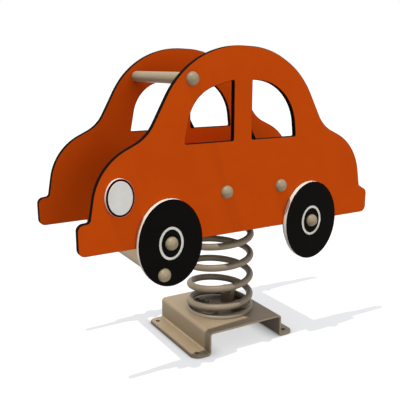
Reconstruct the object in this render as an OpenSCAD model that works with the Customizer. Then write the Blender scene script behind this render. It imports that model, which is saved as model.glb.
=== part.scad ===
// Playground spring rider shaped like a small car.
// Two side panels hang on a folded seat carrier, which stands on one coil spring and a ground bracket.
// Millimetres, +Z up, +X to the front of the car, +Y to its left side.
// The origin is on the ground, on the spring's axis.

/* [Side panels] */
// Thickness of a side panel
panel_t = 15; // [12:1:18]
// Width over the panels' outer faces
panel_span = 340; // [320:1:380]
// Depth of the panels' bottom edge below the spring's upper seat
panel_drop = 132; // [120:1:145]
// Reach of the front bumper from the spring's axis
front_reach = 491; // [480:1:520]
// Reach of the rear bumper from the spring's axis
rear_reach = 413; // [400:1:440]
// Height of the front bumper
front_bumper_h = 76; // [66:1:86]
// Height of the rear bumper
rear_bumper_h = 66; // [56:1:76]
// How far a bumper stands out from the bodywork
bumper_lip = 31; // [24:1:36]
// Height of the bonnet and boot above the bottom edge
bonnet_h = 208; // [200:1:218]
// How far the bonnet and boot corners lie behind the bumpers
bonnet_back = 54; // [48:1:62]
// Height of the foot of each windscreen above the bottom edge
screen_h = 268; // [260:1:276]
// Foot of the front windscreen, ahead of the spring's axis
screen_front_x = 310; // [302:1:318]
// Foot of the rear windscreen, behind the spring's axis
screen_rear_x = 231; // [224:1:240]
// Height of the roof's crown above the bottom edge
roof_h = 483; // [476:1:490]
// Middle of the roof ahead of the spring's axis
roof_x = 19; // [12:1:26]
// Radius of the roof's corners
roof_r = 228; // [190:1:234]
// Radius of the bonnet and boot corners
bonnet_r = 152; // [130:1:165]
// Radius at the foot of each windscreen
screen_r = 105; // [80:1:115]
// Radius of the bumpers' corners
bumper_r = 17; // [10:1:20]

/* [Windows] */
// Height of the window sills above the bottom edge
sill_h = 245; // [235:1:255]
// Height of the window tops beside the pillar, above the bottom edge
window_top_h = 398; // [388:1:404]
// Middle of the pillar between the windows, ahead of the spring's axis
pillar_x = 40; // [34:1:46]
// Width of the pillar between the windows
pillar_w = 56; // [48:1:70]
// Front end of the front window's sill, ahead of the spring's axis
window_front_x = 211; // [204:1:216]
// Rear end of the rear window's sill, behind the spring's axis
window_rear_x = 133; // [126:1:138]

/* [Wheels and lamps] */
// Width of a wheel disc
wheel_w = 178; // [170:1:192]
// Height of a wheel disc
wheel_h = 223; // [214:1:232]
// Thickness of a wheel disc
wheel_t = 15; // [10:1:20]
// Front wheels' middle behind the front bumper's end
front_overhang = 233; // [224:1:242]
// Rear wheels' middle ahead of the rear bumper's end
rear_overhang = 224; // [216:1:234]
// Wheels' middle above the panels' bottom edge
wheel_rise = 4; // [0:0.5:10]
// Height of the ring engraved in a wheel
ring_h = 85; // [75:1:100]
// Width of the ring's line
ring_line = 6.5; // [4:0.5:9]
// Depth of the engraved lines
engrave = 1.5; // [0.5:0.5:3]
// Width of a lamp disc
lamp_w = 73; // [68:1:84]
// Height of a lamp disc
lamp_h = 92; // [84:1:98]
// Thickness of a lamp disc
lamp_t = 10; // [9:1:15]
// Lamps' middle behind the front bumper's end
lamp_back = 104; // [98:1:110]
// Lamps' middle above the panels' bottom edge
lamp_rise = 132; // [126:0.5:136]
// Width of the step round a lamp's face, which takes its dark line
lamp_line = 5.5; // [4:0.1:7]

/* [Handlebar and footrest] */
// Diameter of the handlebar tube
handle_d = 30; // [26:0.5:34]
// Handlebar ahead of the spring's axis
handle_x = 189; // [184:1:196]
// Handlebar above the panels' bottom edge
handle_rise = 402; // [396:1:408]
// Diameter of the footrest tube
foot_d = 33.7; // [28:0.1:38]
// Footrest ahead of the front wheels' middle
foot_ahead = 21; // [0:1:24]
// Footrest below the wheels' middle
foot_drop = 79; // [66:1:82]
// Wall of both tubes
tube_wall = 2.6; // [2:0.1:3.5]
// Length of the threaded plug in each tube end
plug_l = 25; // [18:1:40]

/* [Spring] */
// Diameter of the spring wire
wire_d = 20; // [16:0.5:20.5]
// Outside diameter of the spring
spring_d = 200; // [190:1:205]
// Height of the spring between its two seats
spring_h = 416; // [411:1:450]
// Turns over which the pitch opens at each end
ramp_turns = 2.4; // [2.3:0.05:2.55]
// Turns at full pitch
mid_turns = 4.4; // [4:0.1:4.7]
// Direction of the wire where it first lies full on the lower seat, in degrees
spring_phase = 203.8; // [174:0.1:234]

/* [Ground bracket] */
// Thickness of the folded plate
base_t = 6; // [5:1:10]
// Length of the bracket along Y
base_l = 294; // [284:1:324]
// Width of the bracket's raised top, over its webs
base_top_w = 247; // [240:1:266]
// Width over the flanges
base_w = 346; // [344:1:376]
// Height of the bracket's top
base_h = 68; // [60:1:80]
// Inside radius of the folds
fold_r = 5; // [3:1:10]
// Radius of the flanges' corners
flange_r = 26; // [10:1:28]
// Spacing of the anchor holes across the bracket
anchor_x = 300; // [296:1:304]
// Spacing of the anchor holes along the bracket
anchor_y = 244; // [230:1:250]
// Diameter of the anchor holes
anchor_d = 14; // [12:0.5:18]

/* [Spring claws] */
// Direction of the first claw, in degrees
claw_phase = 33.5; // [30:0.5:40]
// Width of a claw along the wire
claw_w = 32; // [26:1:36]
// Inner end of a claw from the spring's axis
claw_in = 44; // [40:1:46]
// Claw bolts from the spring's axis
claw_bolt_r = 60; // [58:1:62]
// Height of a claw's lip above the middle of the wire
claw_lip = 15; // [13:0.5:16]

/* [Seat] */
// Thickness of the seat carrier's plate
carrier_t = 8; // [8:0.5:10]
// Length of the seat carrier along X
carrier_l = 230; // [222:1:270]
// Depth of the seat carrier's side flanges
carrier_flange = 52; // [48:1:60]
// Inside radius of the seat carrier's folds
carrier_fold = 6; // [4:1:8]
// Spacing of the carrier bolts along X
carrier_bolt_x = 175; // [165:1:185]
// Depth of the carrier bolts below the spring's upper seat
carrier_bolt_drop = 19; // [18:1:24]
// Thickness of the seat board
seat_t = 15; // [12:1:20]
// Length of the seat board
seat_l = 232; // [230:1:260]
// Middle of the seat board ahead of the spring's axis
seat_ahead = 10; // [4:1:12]
// Radius of the seat board's corners
seat_r = 40; // [20:1:60]
// Spacing of the seat bolts along X
seat_bolt_x = 184; // [178:1:190]
// Spacing of the seat bolts along Y
seat_bolt_y = 140; // [130:1:160]

/* [Fasteners] */
// Diameter of the panel bolts
bolt_d = 10; // [8:0.5:10]
// Diameter of the claw bolts
claw_bolt_d = 12; // [10:0.5:12]
// Diameter of the seat bolts
seat_bolt_d = 8; // [6:0.5:10]
// Diameter of the lamp pins
lamp_pin_d = 6; // [4:0.5:8]
// Spacing of the two pins in a lamp
lamp_pin_gap = 44; // [36:1:50]
// Depth of a lamp pin in its lamp, and in the panel
lamp_pin_grip = 7; // [5:0.5:7]
// Diameter of a dome cap
cap_d = 35; // [32:0.5:40]
// Height of a dome cap
cap_h = 16; // [14.5:0.5:19]

/* [Clearances] */
// Play of a bolt in its hole, on the diameter
hole_play = 1; // [0.5:0.1:1.4]
// Play between a thread and its nut, on the diameter
thread_play = 0.2; // [0.1:0.05:0.4]
// Gap between the spring and its seats
spring_gap = 0.3; // [0.2:0.05:0.6]
// Gap between the spring wire and a claw's groove
claw_gap = 2; // [1.8:0.1:2.6]
// Gap between the seat board and each panel
seat_gap = 0.5; // [0.3:0.1:3]
// Least gap between a carrier bolt's cap and a wheel
cap_gap = 2; // [1:0.5:6]

/* [Hidden] */

orange = "#b8450c";
black = "#17161a";
tan_paint = "#b3a286";
zinc = "#a9acae";
white = "#e6e2da";

$fn = 64;
// Largest step of an arc in an outline, in degrees
arc_step = 6;
// Sides of a wheel or lamp outline
oval_sides = 72;
// How far a cut runs past the face that it goes through
past = 1;

// Heights of the spring's upper seat, which carries the rider, and of the panels' bottom edge
carrier_z = base_h + spring_h;
panel_z = carrier_z - panel_drop;

// Places of the panels and of what lies on them, out from the car's middle plane
face_y = panel_span / 2;
inner_y = face_y - panel_t;
wheel_face_y = face_y + wheel_t;
wheel_z = panel_z + wheel_rise;
hubs = [[front_reach - front_overhang, wheel_z], [-rear_reach + rear_overhang, wheel_z]];
handle_at = [handle_x, panel_z + handle_rise];
foot_at = hubs[0] + [foot_ahead, -foot_drop];
lamp_at = [front_reach - lamp_back, panel_z + lamp_rise];
lamp_pins_at = [for (side = [-1, 1]) lamp_at + [0, side * lamp_pin_gap / 2]];

// Outline of a panel as corners [x, height above the bottom edge, radius]
bumper_step_front = 3;
bumper_step_rear = 17;
notch_r = 9;
screen_lean_front = 98;
screen_lean_rear = 80;
shoulder_drop_front = 36;
shoulder_drop_rear = 71;
crown_l = 118;
crown_fall = 5;
panel_corners = [
    [front_reach, 0, bumper_r],
    [front_reach, front_bumper_h, bumper_r],
    [front_reach - bumper_lip, front_bumper_h + bumper_step_front, notch_r],
    [front_reach - bonnet_back, bonnet_h, bonnet_r],
    [screen_front_x, screen_h, screen_r],
    [screen_front_x - screen_lean_front, roof_h - shoulder_drop_front, roof_r],
    [roof_x + crown_l / 2, roof_h, roof_r],
    [roof_x - crown_l / 2, roof_h - crown_fall, roof_r],
    [-screen_rear_x + screen_lean_rear, roof_h - shoulder_drop_rear, roof_r],
    [-screen_rear_x, screen_h, screen_r],
    [-rear_reach + bonnet_back, bonnet_h, bonnet_r],
    [-rear_reach + bumper_lip, rear_bumper_h + bumper_step_rear, notch_r],
    [-rear_reach, rear_bumper_h, bumper_r],
    [-rear_reach, 0, bumper_r]
];
window_r = 4;
front_pane_lean = 24;
front_pane_fall = 31;
front_pane_bow = 105;
rear_pane_lean = 16;
rear_pane_fall = 15;
rear_pane_bow = 130;
front_window_corners = [
    [window_front_x, sill_h, window_r],
    [window_front_x - front_pane_lean, window_top_h - front_pane_fall, front_pane_bow],
    [pillar_x + pillar_w / 2, window_top_h, window_r],
    [pillar_x + pillar_w / 2, sill_h, window_r]
];
rear_window_corners = [
    [pillar_x - pillar_w / 2, sill_h, window_r],
    [pillar_x - pillar_w / 2, window_top_h, window_r],
    [-window_rear_x + rear_pane_lean, window_top_h - rear_pane_fall, rear_pane_bow],
    [-window_rear_x, sill_h, window_r]
];
// How far the panel behind a wheel stays inside the wheel's rim
lobe_inset = 9;
// Width of the engraved ring, in the wheel's own proportion
ring_w = ring_h * wheel_w / wheel_h;

// Spring: the pitch grows over the ramp turns, stays level and shrinks again
wire_r = wire_d / 2;
coil_r = (spring_d - wire_d) / 2;
turns = 2 * ramp_turns + mid_turns;
// Turn at which the wire lies full on its seat; before it, the wire is ground flat
seat_turn = 1.15;
// Turn at which the wire ends
tip_turn = 0.42;
rings_a_turn = 24;
wire_sides = 8;
pitch = (spring_h - wire_d - 2 * spring_gap) / (ramp_turns + mid_turns - seat_turn * seat_turn / ramp_turns);
ring_count = round((turns - 2 * tip_turn) * rings_a_turn);
ring_turns = [for (i = [0:ring_count]) tip_turn + (turns - 2 * tip_turn) * i / ring_count];
mid_z = (base_h + carrier_z) / 2;
mid_angle = spring_phase + 360 * (turns / 2 - seat_turn);

// Claws and their bolts, each with the turn of the wire that it holds
claw_angles = [for (k = [0:3]) claw_phase + 90 * k];
// How far a claw reaches out past the middle of the wire
claw_reach = 2;
claw_out = coil_r + claw_reach;
// Room between a claw's lip and the next turn of the wire
lip_gap = 3;

// Seat
carrier_top = carrier_z + carrier_t;
// Carrier bolts: their caps stay clear of the wheels, whose ovals are grown here by a cap and its gap
carrier_bolt_z = carrier_z - carrier_bolt_drop;
grown_half_w = (wheel_w + cap_d) / 2 + cap_gap;
grown_half_h = (wheel_h + cap_d) / 2 + cap_gap;
wheel_clear = grown_half_w * sqrt(max(0, 1 - pow((carrier_bolt_z - wheel_z) / grown_half_h, 2)));
carrier_bolts_at = [
    [max(-carrier_bolt_x / 2, hubs[1].x + wheel_clear), carrier_bolt_z],
    [min(carrier_bolt_x / 2, hubs[0].x - wheel_clear), carrier_bolt_z]
];
seat_bolts_at = [for (x = [-1, 1], y = [-1, 1]) [x * seat_bolt_x / 2, y * seat_bolt_y / 2]];
anchors_at = [for (x = [-1, 1], y = [-1, 1]) [x * anchor_x / 2, y * anchor_y / 2]];

// Bolt heads, nuts and washers in proportion to their bolt
function head_af(d) = 1.65 * d;
function head_h(d) = 0.64 * d;
function nut_h(d) = 0.85 * d;
function washer_d(d) = 2.1 * d;
function washer_t(d) = 0.2 * d;
// Thread past the nut
thread_end = 3;
// Room in a cap above the bolt's head
cap_room = 1.5;
cap_bore = washer_d(bolt_d) + thread_play;
cap_depth = washer_t(bolt_d) + head_h(bolt_d) + cap_room;

function unit(v) = v / norm(v);
function flat(p) = [p.x, p.y];
function turned_within(a) = a > 180 ? a - 360 : a < -180 ? a + 360 : a;

// Arc that rounds the corner p = [x, y, radius] between its neighbours a and b
function corner_arc(a, p, b) =
    let (
        to_a = unit(flat(a) - flat(p)),
        to_b = unit(flat(b) - flat(p)),
        half = acos(to_a * to_b) / 2,
        centre = flat(p) + unit(to_a + to_b) * p.z / sin(half),
        first = flat(p) + to_a * p.z / tan(half) - centre,
        last = flat(p) + to_b * p.z / tan(half) - centre,
        from = atan2(first.y, first.x),
        sweep = turned_within(atan2(last.y, last.x) - from),
        steps = ceil(abs(sweep) / arc_step)
    )
    p.z == 0 ? [flat(p)] : [for (k = [0:steps]) centre + p.z * [cos(from + sweep * k / steps),
                                                              sin(from + sweep * k / steps)]];

// Closed outline through corners [x, y, radius]
function rounded(corners) =
    let (n = len(corners))
    [for (i = [0:n - 1]) each corner_arc(corners[(i + n - 1) % n], corners[i], corners[(i + 1) % n])];

function oval(w, h) =
    [for (i = [0:oval_sides - 1]) [w / 2 * cos(360 * i / oval_sides), h / 2 * sin(360 * i / oval_sides)]];

// Climb of the wire, in pitches, after u turns
function climb(u) =
    u < ramp_turns ? u * u / (2 * ramp_turns)
    : u < ramp_turns + mid_turns ? u - ramp_turns / 2
    : turns - ramp_turns - (turns - u) * (turns - u) / (2 * ramp_turns);
function wire_z(u) = base_h + spring_gap + wire_r + pitch * (climb(u) - climb(seat_turn));
function wire_angle(u) = spring_phase + 360 * (u - seat_turn);
function wire_at(u) = [coil_r * cos(wire_angle(u)), coil_r * sin(wire_angle(u)), wire_z(u)];
function ground_flat(p) = [p.x, p.y, min(max(p.z, base_h + spring_gap), carrier_z - spring_gap)];

// Ring of points round the wire at u turns, square to the wire's slope
function wire_ring(u) =
    let (
        a = wire_angle(u),
        step = 0.01,
        slope = atan2(wire_z(u + step) - wire_z(u - step), 4 * PI * coil_r * step),
        outward = [cos(a), sin(a), 0],
        upward = [sin(a) * sin(slope), -cos(a) * sin(slope), cos(slope)]
    )
    [for (k = [0:wire_sides - 1])
        let (f = 360 * k / wire_sides)
        ground_flat(wire_at(u) + wire_r * (cos(f) * outward + sin(f) * upward))];

// Turn of the wire that lies at an angle, on the lowest full turn
function turn_at(angle) =
    let (u = seat_turn + (angle - spring_phase) / 360, low = tip_turn)
    u - floor(u - low);

// Top of a claw: its lip, kept clear of the next turn
function claw_top(angle) =
    let (u = turn_at(angle))
    wire_z(u) + min(claw_lip, wire_z(u + 1) - wire_z(u) - wire_r - lip_gap);

// Least gap between neighbouring turns, measured from ring to ring
turn_gap = min([for (i = [0:ring_count - rings_a_turn])
    min([for (j = [i + rings_a_turn - 6:min(ring_count, i + rings_a_turn + 6)])
        norm(wire_at(ring_turns[i]) - wire_at(ring_turns[j]))])]) - wire_d;
echo(least_gap_between_turns = turn_gap);

module both_sides() {
    children();
    mirror([0, 1, 0]) children();
}

// Stands a flat outline up in X and Z; it reaches from y inwards by its thickness
module upright(y, t) {
    translate([0, y, 0]) rotate([90, 0, 0]) linear_extrude(t) children();
}

// Puts children at [x, z] on the plane y, with their +Z outwards along +Y
module outward_at(spot, y) {
    translate([spot.x, y, spot.y]) rotate([-90, 0, 0]) children();
}

module hex_head(d) {
    cylinder(h = head_h(d), d = head_af(d) / cos(30), $fn = 6);
}

// Bolt with its head's seat at z = 0 and its shank downwards
module hex_bolt(d, l) {
    hex_head(d);
    translate([0, 0, -l]) cylinder(h = l + head_h(d) / 2, d = d);
}

// Nut that stands on z = 0
module hex_nut(d) {
    difference() {
        cylinder(h = nut_h(d), d = head_af(d) / cos(30), $fn = 6);
        translate([0, 0, -past]) cylinder(h = nut_h(d) + 2 * past, d = d + thread_play);
    }
}

// Washer that lies on z = 0
module washer(d) {
    difference() {
        cylinder(h = washer_t(d), d = washer_d(d));
        translate([0, 0, -past]) cylinder(h = washer_t(d) + 2 * past, d = d + hole_play);
    }
}

// Hole for a bolt, along Z through a plate between two heights
module bolt_hole(d, low, high) {
    translate([0, 0, low - past]) cylinder(h = high - low + 2 * past, d = d + hole_play);
}

// Dome cap that stands on z = 0 and closes over a bolt head and its washer
module dome_cap() {
    ball_r = (cap_d * cap_d / 4 + cap_h * cap_h) / (2 * cap_h);
    color(tan_paint)
    difference() {
        intersection() {
            translate([0, 0, cap_h - ball_r]) sphere(ball_r);
            cylinder(h = cap_h + past, d = 2 * cap_d);
        }
        translate([0, 0, -past]) cylinder(h = cap_depth + past, d = cap_bore);
    }
}

// Bolt with a washer under its head, through thickness l
module panel_bolt(l) {
    translate([0, 0, washer_t(bolt_d)]) hex_bolt(bolt_d, washer_t(bolt_d) + l);
}

// Folded plate with the hat section of the bracket
module ground_bracket() {
    half_top = base_top_w / 2;
    half = base_w / 2;
    web_in = half_top - base_t;
    section = [
        [half, 0, 0], [half, base_t, 0],
        [half_top, base_t, fold_r], [half_top, base_h, fold_r + base_t],
        [-half_top, base_h, fold_r + base_t], [-half_top, base_t, fold_r],
        [-half, base_t, 0], [-half, 0, 0],
        [-web_in, 0, fold_r + base_t], [-web_in, base_h - base_t, fold_r],
        [web_in, base_h - base_t, fold_r], [web_in, 0, fold_r + base_t]
    ];
    plan = [for (s = [[1, -1], [1, 1], [-1, 1], [-1, -1]]) [s.x * half, s.y * base_l / 2, flange_r]];
    color(tan_paint)
    difference() {
        intersection() {
            upright(base_l / 2, base_l) polygon(rounded(section));
            translate([0, 0, -past]) linear_extrude(base_h + 2 * past) polygon(rounded(plan));
        }
        for (p = anchors_at)
            translate([p.x, p.y, -past]) cylinder(h = base_t + 2 * past, d = anchor_d);
        for (a = claw_angles)
            rotate(a) translate([claw_bolt_r, 0, 0]) bolt_hole(claw_bolt_d, base_h - base_t, base_h);
    }
}

// Blocks that stand on the lower seat and hook over the inner side of the wire
module claw_set() {
    for (a = claw_angles)
        let (u = turn_at(a), top = claw_top(a))
        rotate(a)
        difference() {
            translate([claw_in, -claw_w / 2, base_h])
                cube([claw_out - claw_in, claw_w, top - base_h]);
            translate([0, 0, wire_z(u)]) rotate_extrude()
                translate([coil_r, 0]) circle(wire_r + claw_gap);
            translate([claw_bolt_r, 0, 0]) bolt_hole(claw_bolt_d, base_h, top);
        }
}

// Places children on the claws, with z = 0 at each claw's top
module on_claws() {
    for (a = claw_angles)
        rotate(a) translate([claw_bolt_r, 0, claw_top(a)]) children();
}

// Turns what is on the lower seat over to the upper seat, as the spring repeats itself
module at_upper_seat() {
    translate([0, 0, mid_z]) rotate(mid_angle) rotate([180, 0, 0]) rotate(-mid_angle)
        translate([0, 0, -mid_z]) children();
}

module lower_spring_claws() {
    color(tan_paint) claw_set();
}

module lower_claw_bolts() {
    under = base_t + washer_t(claw_bolt_d) + nut_h(claw_bolt_d) + thread_end;
    color(zinc)
    for (a = claw_angles)
        rotate(a) translate([claw_bolt_r, 0, claw_top(a)])
            hex_bolt(claw_bolt_d, claw_top(a) - base_h + under);
}

module lower_claw_washers() {
    color(zinc)
    for (a = claw_angles)
        rotate(a) translate([claw_bolt_r, 0, base_h - base_t - washer_t(claw_bolt_d)]) washer(claw_bolt_d);
}

module lower_claw_nuts() {
    color(zinc)
    for (a = claw_angles)
        rotate(a) translate([claw_bolt_r, 0, base_h - base_t - washer_t(claw_bolt_d) - nut_h(claw_bolt_d)])
            hex_nut(claw_bolt_d);
}

// One unbroken wire, its two ends ground flat on the seats
module spring() {
    rings = [for (u = ring_turns) wire_ring(u)];
    n = wire_sides;
    last = ring_count * n;
    points = [for (ring = rings) each ring];
    sides = [for (i = [0:ring_count - 1], k = [0:n - 1])
        let (a = i * n + k, b = i * n + (k + 1) % n)
        each [[a, b + n, a + n], [a, b, b + n]]];
    ends = [for (k = [1:n - 2]) each [[0, k + 1, k], [last, last + k, last + k + 1]]];
    color(tan_paint) polyhedron(points, concat(sides, ends));
}

module upper_spring_claws() {
    color(tan_paint) at_upper_seat() claw_set();
}

// Countersunk screws that lie flush in the carrier's top, under the seat
module upper_claw_screws() {
    d = claw_bolt_d;
    color(zinc)
    at_upper_seat()
    for (a = claw_angles)
        rotate(a) translate([claw_bolt_r, 0, 0]) {
            translate([0, 0, base_h - carrier_t]) cylinder(h = d / 2, d1 = 2 * d, d2 = d);
            translate([0, 0, base_h - carrier_t])
                cylinder(h = claw_top(a) - base_h + carrier_t + washer_t(d) + nut_h(d) + thread_end, d = d);
        }
}

module upper_claw_washers() {
    color(zinc) at_upper_seat() on_claws() washer(claw_bolt_d);
}

module upper_claw_nuts() {
    color(zinc) at_upper_seat() on_claws()
        translate([0, 0, washer_t(claw_bolt_d)]) hex_nut(claw_bolt_d);
}

// Folded plate across the car; its flanges hang down inside the panels
module seat_carrier() {
    low = carrier_top - carrier_flange;
    side_in = inner_y - carrier_t;
    section = [
        [inner_y, low, 0], [inner_y, carrier_top, carrier_fold + carrier_t],
        [-inner_y, carrier_top, carrier_fold + carrier_t], [-inner_y, low, 0],
        [-side_in, low, 0], [-side_in, carrier_z, carrier_fold],
        [side_in, carrier_z, carrier_fold], [side_in, low, 0]
    ];
    d = claw_bolt_d;
    sink_d = 2 * d + thread_play;
    color(tan_paint)
    difference() {
        rotate(90) upright(carrier_l / 2, carrier_l) polygon(rounded(section));
        for (p = carrier_bolts_at)
            both_sides() outward_at(p, 0) bolt_hole(bolt_d, side_in, inner_y);
        for (p = seat_bolts_at)
            translate([p.x, p.y, 0]) bolt_hole(seat_bolt_d, carrier_z, carrier_top);
        at_upper_seat()
        for (a = claw_angles)
            rotate(a) translate([claw_bolt_r, 0, base_h]) {
                translate([0, 0, -carrier_t - past]) cylinder(h = carrier_t + 2 * past, d = d + hole_play);
                translate([0, 0, -carrier_t])
                    cylinder(h = (sink_d - d - hole_play) / 2, d1 = sink_d, d2 = d + hole_play);
            }
    }
}

module seat_board() {
    half_l = seat_l / 2;
    half_w = inner_y - seat_gap;
    plan = [for (s = [[1, -1], [1, 1], [-1, 1], [-1, -1]])
        [s.x * half_l + seat_ahead, s.y * half_w, seat_r]];
    color(orange)
    difference() {
        translate([0, 0, carrier_top]) linear_extrude(seat_t) polygon(rounded(plan));
        for (p = seat_bolts_at)
            translate([p.x, p.y, 0]) bolt_hole(seat_bolt_d, carrier_top, carrier_top + seat_t);
    }
}

// Round-headed bolts down through the seat and the carrier
module seat_bolts() {
    d = seat_bolt_d;
    top = carrier_top + seat_t;
    end = carrier_z - washer_t(d) - nut_h(d) - thread_end;
    dome_h = 0.5 * d;
    dome_d = 2.3 * d;
    ball_r = (dome_d * dome_d / 4 + dome_h * dome_h) / (2 * dome_h);
    color(zinc)
    for (p = seat_bolts_at)
        translate([p.x, p.y, 0]) {
            intersection() {
                translate([0, 0, top + dome_h - ball_r]) sphere(ball_r);
                translate([0, 0, top]) cylinder(h = dome_h + past, d = 2 * dome_d);
            }
            translate([0, 0, end]) cylinder(h = top - end + dome_h / 2, d = d);
        }
}

module seat_washers() {
    color(zinc)
    for (p = seat_bolts_at)
        translate([p.x, p.y, carrier_z - washer_t(seat_bolt_d)]) washer(seat_bolt_d);
}

module seat_nuts() {
    color(zinc)
    for (p = seat_bolts_at)
        translate([p.x, p.y, carrier_z - washer_t(seat_bolt_d) - nut_h(seat_bolt_d)]) hex_nut(seat_bolt_d);
}

// Left panel: car outline with two windows, and a lobe behind each wheel that carries its bolts
module panel() {
    color(orange)
    difference() {
        upright(face_y, panel_t)
        union() {
            translate([0, panel_z])
            difference() {
                polygon(rounded(panel_corners));
                polygon(rounded(front_window_corners));
                polygon(rounded(rear_window_corners));
            }
            for (p = hubs)
                translate(p) polygon(oval(wheel_w - 2 * lobe_inset, wheel_h - 2 * lobe_inset));
        }
        for (p = concat(hubs, carrier_bolts_at, [handle_at, foot_at]))
            outward_at(p, 0) bolt_hole(bolt_d, inner_y, face_y);
        for (p = lamp_pins_at)
            outward_at(p, face_y - lamp_pin_grip)
                cylinder(h = lamp_pin_grip + past, d = lamp_pin_d + thread_play);
    }
}

module left_panel() {
    panel();
}

module right_panel() {
    mirror([0, 1, 0]) panel();
}

module carrier_bolts() {
    l = panel_t + carrier_t + washer_t(bolt_d) + nut_h(bolt_d) + thread_end;
    color(zinc)
    both_sides()
    for (p = carrier_bolts_at)
        outward_at(p, face_y) panel_bolt(l);
}

module carrier_washers() {
    color(zinc)
    both_sides()
    for (p = carrier_bolts_at) {
        outward_at(p, face_y) washer(bolt_d);
        outward_at(p, inner_y - carrier_t - washer_t(bolt_d)) washer(bolt_d);
    }
}

module carrier_nuts() {
    color(zinc)
    both_sides()
    for (p = carrier_bolts_at)
        outward_at(p, inner_y - carrier_t - washer_t(bolt_d) - nut_h(bolt_d)) hex_nut(bolt_d);
}

module carrier_caps() {
    both_sides()
    for (p = carrier_bolts_at)
        outward_at(p, face_y) dome_cap();
}

// Tube across the car, its ends square on the panels' inner faces
module cross_tube(spot, d) {
    color(tan_paint)
    outward_at(spot, -inner_y)
    difference() {
        cylinder(h = 2 * inner_y, d = d);
        translate([0, 0, -past]) cylinder(h = 2 * inner_y + 2 * past, d = d - 2 * tube_wall);
    }
}

// Threaded plugs in both ends of a tube
module tube_plugs(spot, d) {
    color(zinc)
    both_sides()
    outward_at(spot, inner_y - plug_l)
    difference() {
        cylinder(h = plug_l, d = d - 2 * tube_wall - thread_play);
        translate([0, 0, -past]) cylinder(h = plug_l + 2 * past, d = bolt_d + thread_play);
    }
}

module handlebar() {
    cross_tube(handle_at, handle_d);
}

module handlebar_plugs() {
    tube_plugs(handle_at, handle_d);
}

module handlebar_bolts() {
    color(zinc) both_sides() outward_at(handle_at, face_y) panel_bolt(panel_t + plug_l);
}

module handlebar_washers() {
    color(zinc) both_sides() outward_at(handle_at, face_y) washer(bolt_d);
}

module handlebar_caps() {
    both_sides() outward_at(handle_at, face_y) dome_cap();
}

module footrest() {
    cross_tube(foot_at, foot_d);
}

module footrest_plugs() {
    tube_plugs(foot_at, foot_d);
}

module footrest_bolts() {
    color(zinc) both_sides() outward_at(foot_at, wheel_face_y) panel_bolt(wheel_t + panel_t + plug_l);
}

module footrest_washers() {
    color(zinc) both_sides() outward_at(foot_at, wheel_face_y) washer(bolt_d);
}

module footrest_caps() {
    both_sides() outward_at(foot_at, wheel_face_y) dome_cap();
}

// Wheel disc on the left panel, with its engraved ring and the holes of the bolts that it takes
module wheel(hub, bolts) {
    color(black)
    difference() {
        upright(wheel_face_y, wheel_t) translate(hub) polygon(oval(wheel_w, wheel_h));
        upright(wheel_face_y + past, engrave + past) translate(hub)
        difference() {
            polygon(oval(ring_w, ring_h));
            polygon(oval(ring_w - 2 * ring_line, ring_h - 2 * ring_line));
        }
        for (p = bolts)
            outward_at(p, 0) bolt_hole(bolt_d, face_y, wheel_face_y);
    }
}

module front_left_wheel() {
    wheel(hubs[0], [hubs[0], foot_at]);
}

module front_right_wheel() {
    mirror([0, 1, 0]) wheel(hubs[0], [hubs[0], foot_at]);
}

module rear_left_wheel() {
    wheel(hubs[1], [hubs[1]]);
}

module rear_right_wheel() {
    mirror([0, 1, 0]) wheel(hubs[1], [hubs[1]]);
}

module hub_bolts() {
    l = wheel_t + panel_t + washer_t(bolt_d) + nut_h(bolt_d) + thread_end;
    color(zinc)
    both_sides()
    for (p = hubs)
        outward_at(p, wheel_face_y) panel_bolt(l);
}

module hub_washers() {
    color(zinc)
    both_sides()
    for (p = hubs) {
        outward_at(p, wheel_face_y) washer(bolt_d);
        outward_at(p, inner_y - washer_t(bolt_d)) washer(bolt_d);
    }
}

module hub_nuts() {
    color(zinc)
    both_sides()
    for (p = hubs)
        outward_at(p, inner_y - washer_t(bolt_d) - nut_h(bolt_d)) hex_nut(bolt_d);
}

module hub_caps() {
    both_sides()
    for (p = hubs)
        outward_at(p, wheel_face_y) dome_cap();
}

// Lamp disc on the left panel, its face stepped down round the edge
module lamp() {
    lamp_face_y = face_y + lamp_t;
    color(white)
    difference() {
        union() {
            upright(lamp_face_y - engrave, lamp_t - engrave) translate(lamp_at) polygon(oval(lamp_w, lamp_h));
            upright(lamp_face_y, lamp_t) translate(lamp_at)
                polygon(oval(lamp_w - 2 * lamp_line, lamp_h - 2 * lamp_line));
        }
        for (p = lamp_pins_at)
            outward_at(p, face_y - past)
                cylinder(h = lamp_pin_grip + past, d = lamp_pin_d + thread_play);
    }
}

module left_headlight() {
    lamp();
}

module right_headlight() {
    mirror([0, 1, 0]) lamp();
}

// Pins glued half into the panel and half into each lamp
module headlight_pins() {
    color(zinc)
    both_sides()
    for (p = lamp_pins_at)
        outward_at(p, face_y - lamp_pin_grip) cylinder(h = 2 * lamp_pin_grip, d = lamp_pin_d);
}

ground_bracket();
lower_spring_claws();
lower_claw_bolts();
lower_claw_washers();
lower_claw_nuts();
spring();
upper_spring_claws();
upper_claw_screws();
upper_claw_washers();
upper_claw_nuts();
seat_carrier();
seat_board();
seat_bolts();
seat_washers();
seat_nuts();
left_panel();
right_panel();
carrier_bolts();
carrier_washers();
carrier_nuts();
carrier_caps();
handlebar();
handlebar_plugs();
handlebar_bolts();
handlebar_washers();
handlebar_caps();
footrest();
footrest_plugs();
footrest_bolts();
footrest_washers();
footrest_caps();
front_left_wheel();
front_right_wheel();
rear_left_wheel();
rear_right_wheel();
hub_bolts();
hub_washers();
hub_nuts();
hub_caps();
left_headlight();
right_headlight();
headlight_pins();
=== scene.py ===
import bmesh
import bpy
import numpy as np
from mathutils import Matrix
from mathutils.geometry import tessellate_polygon


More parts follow.
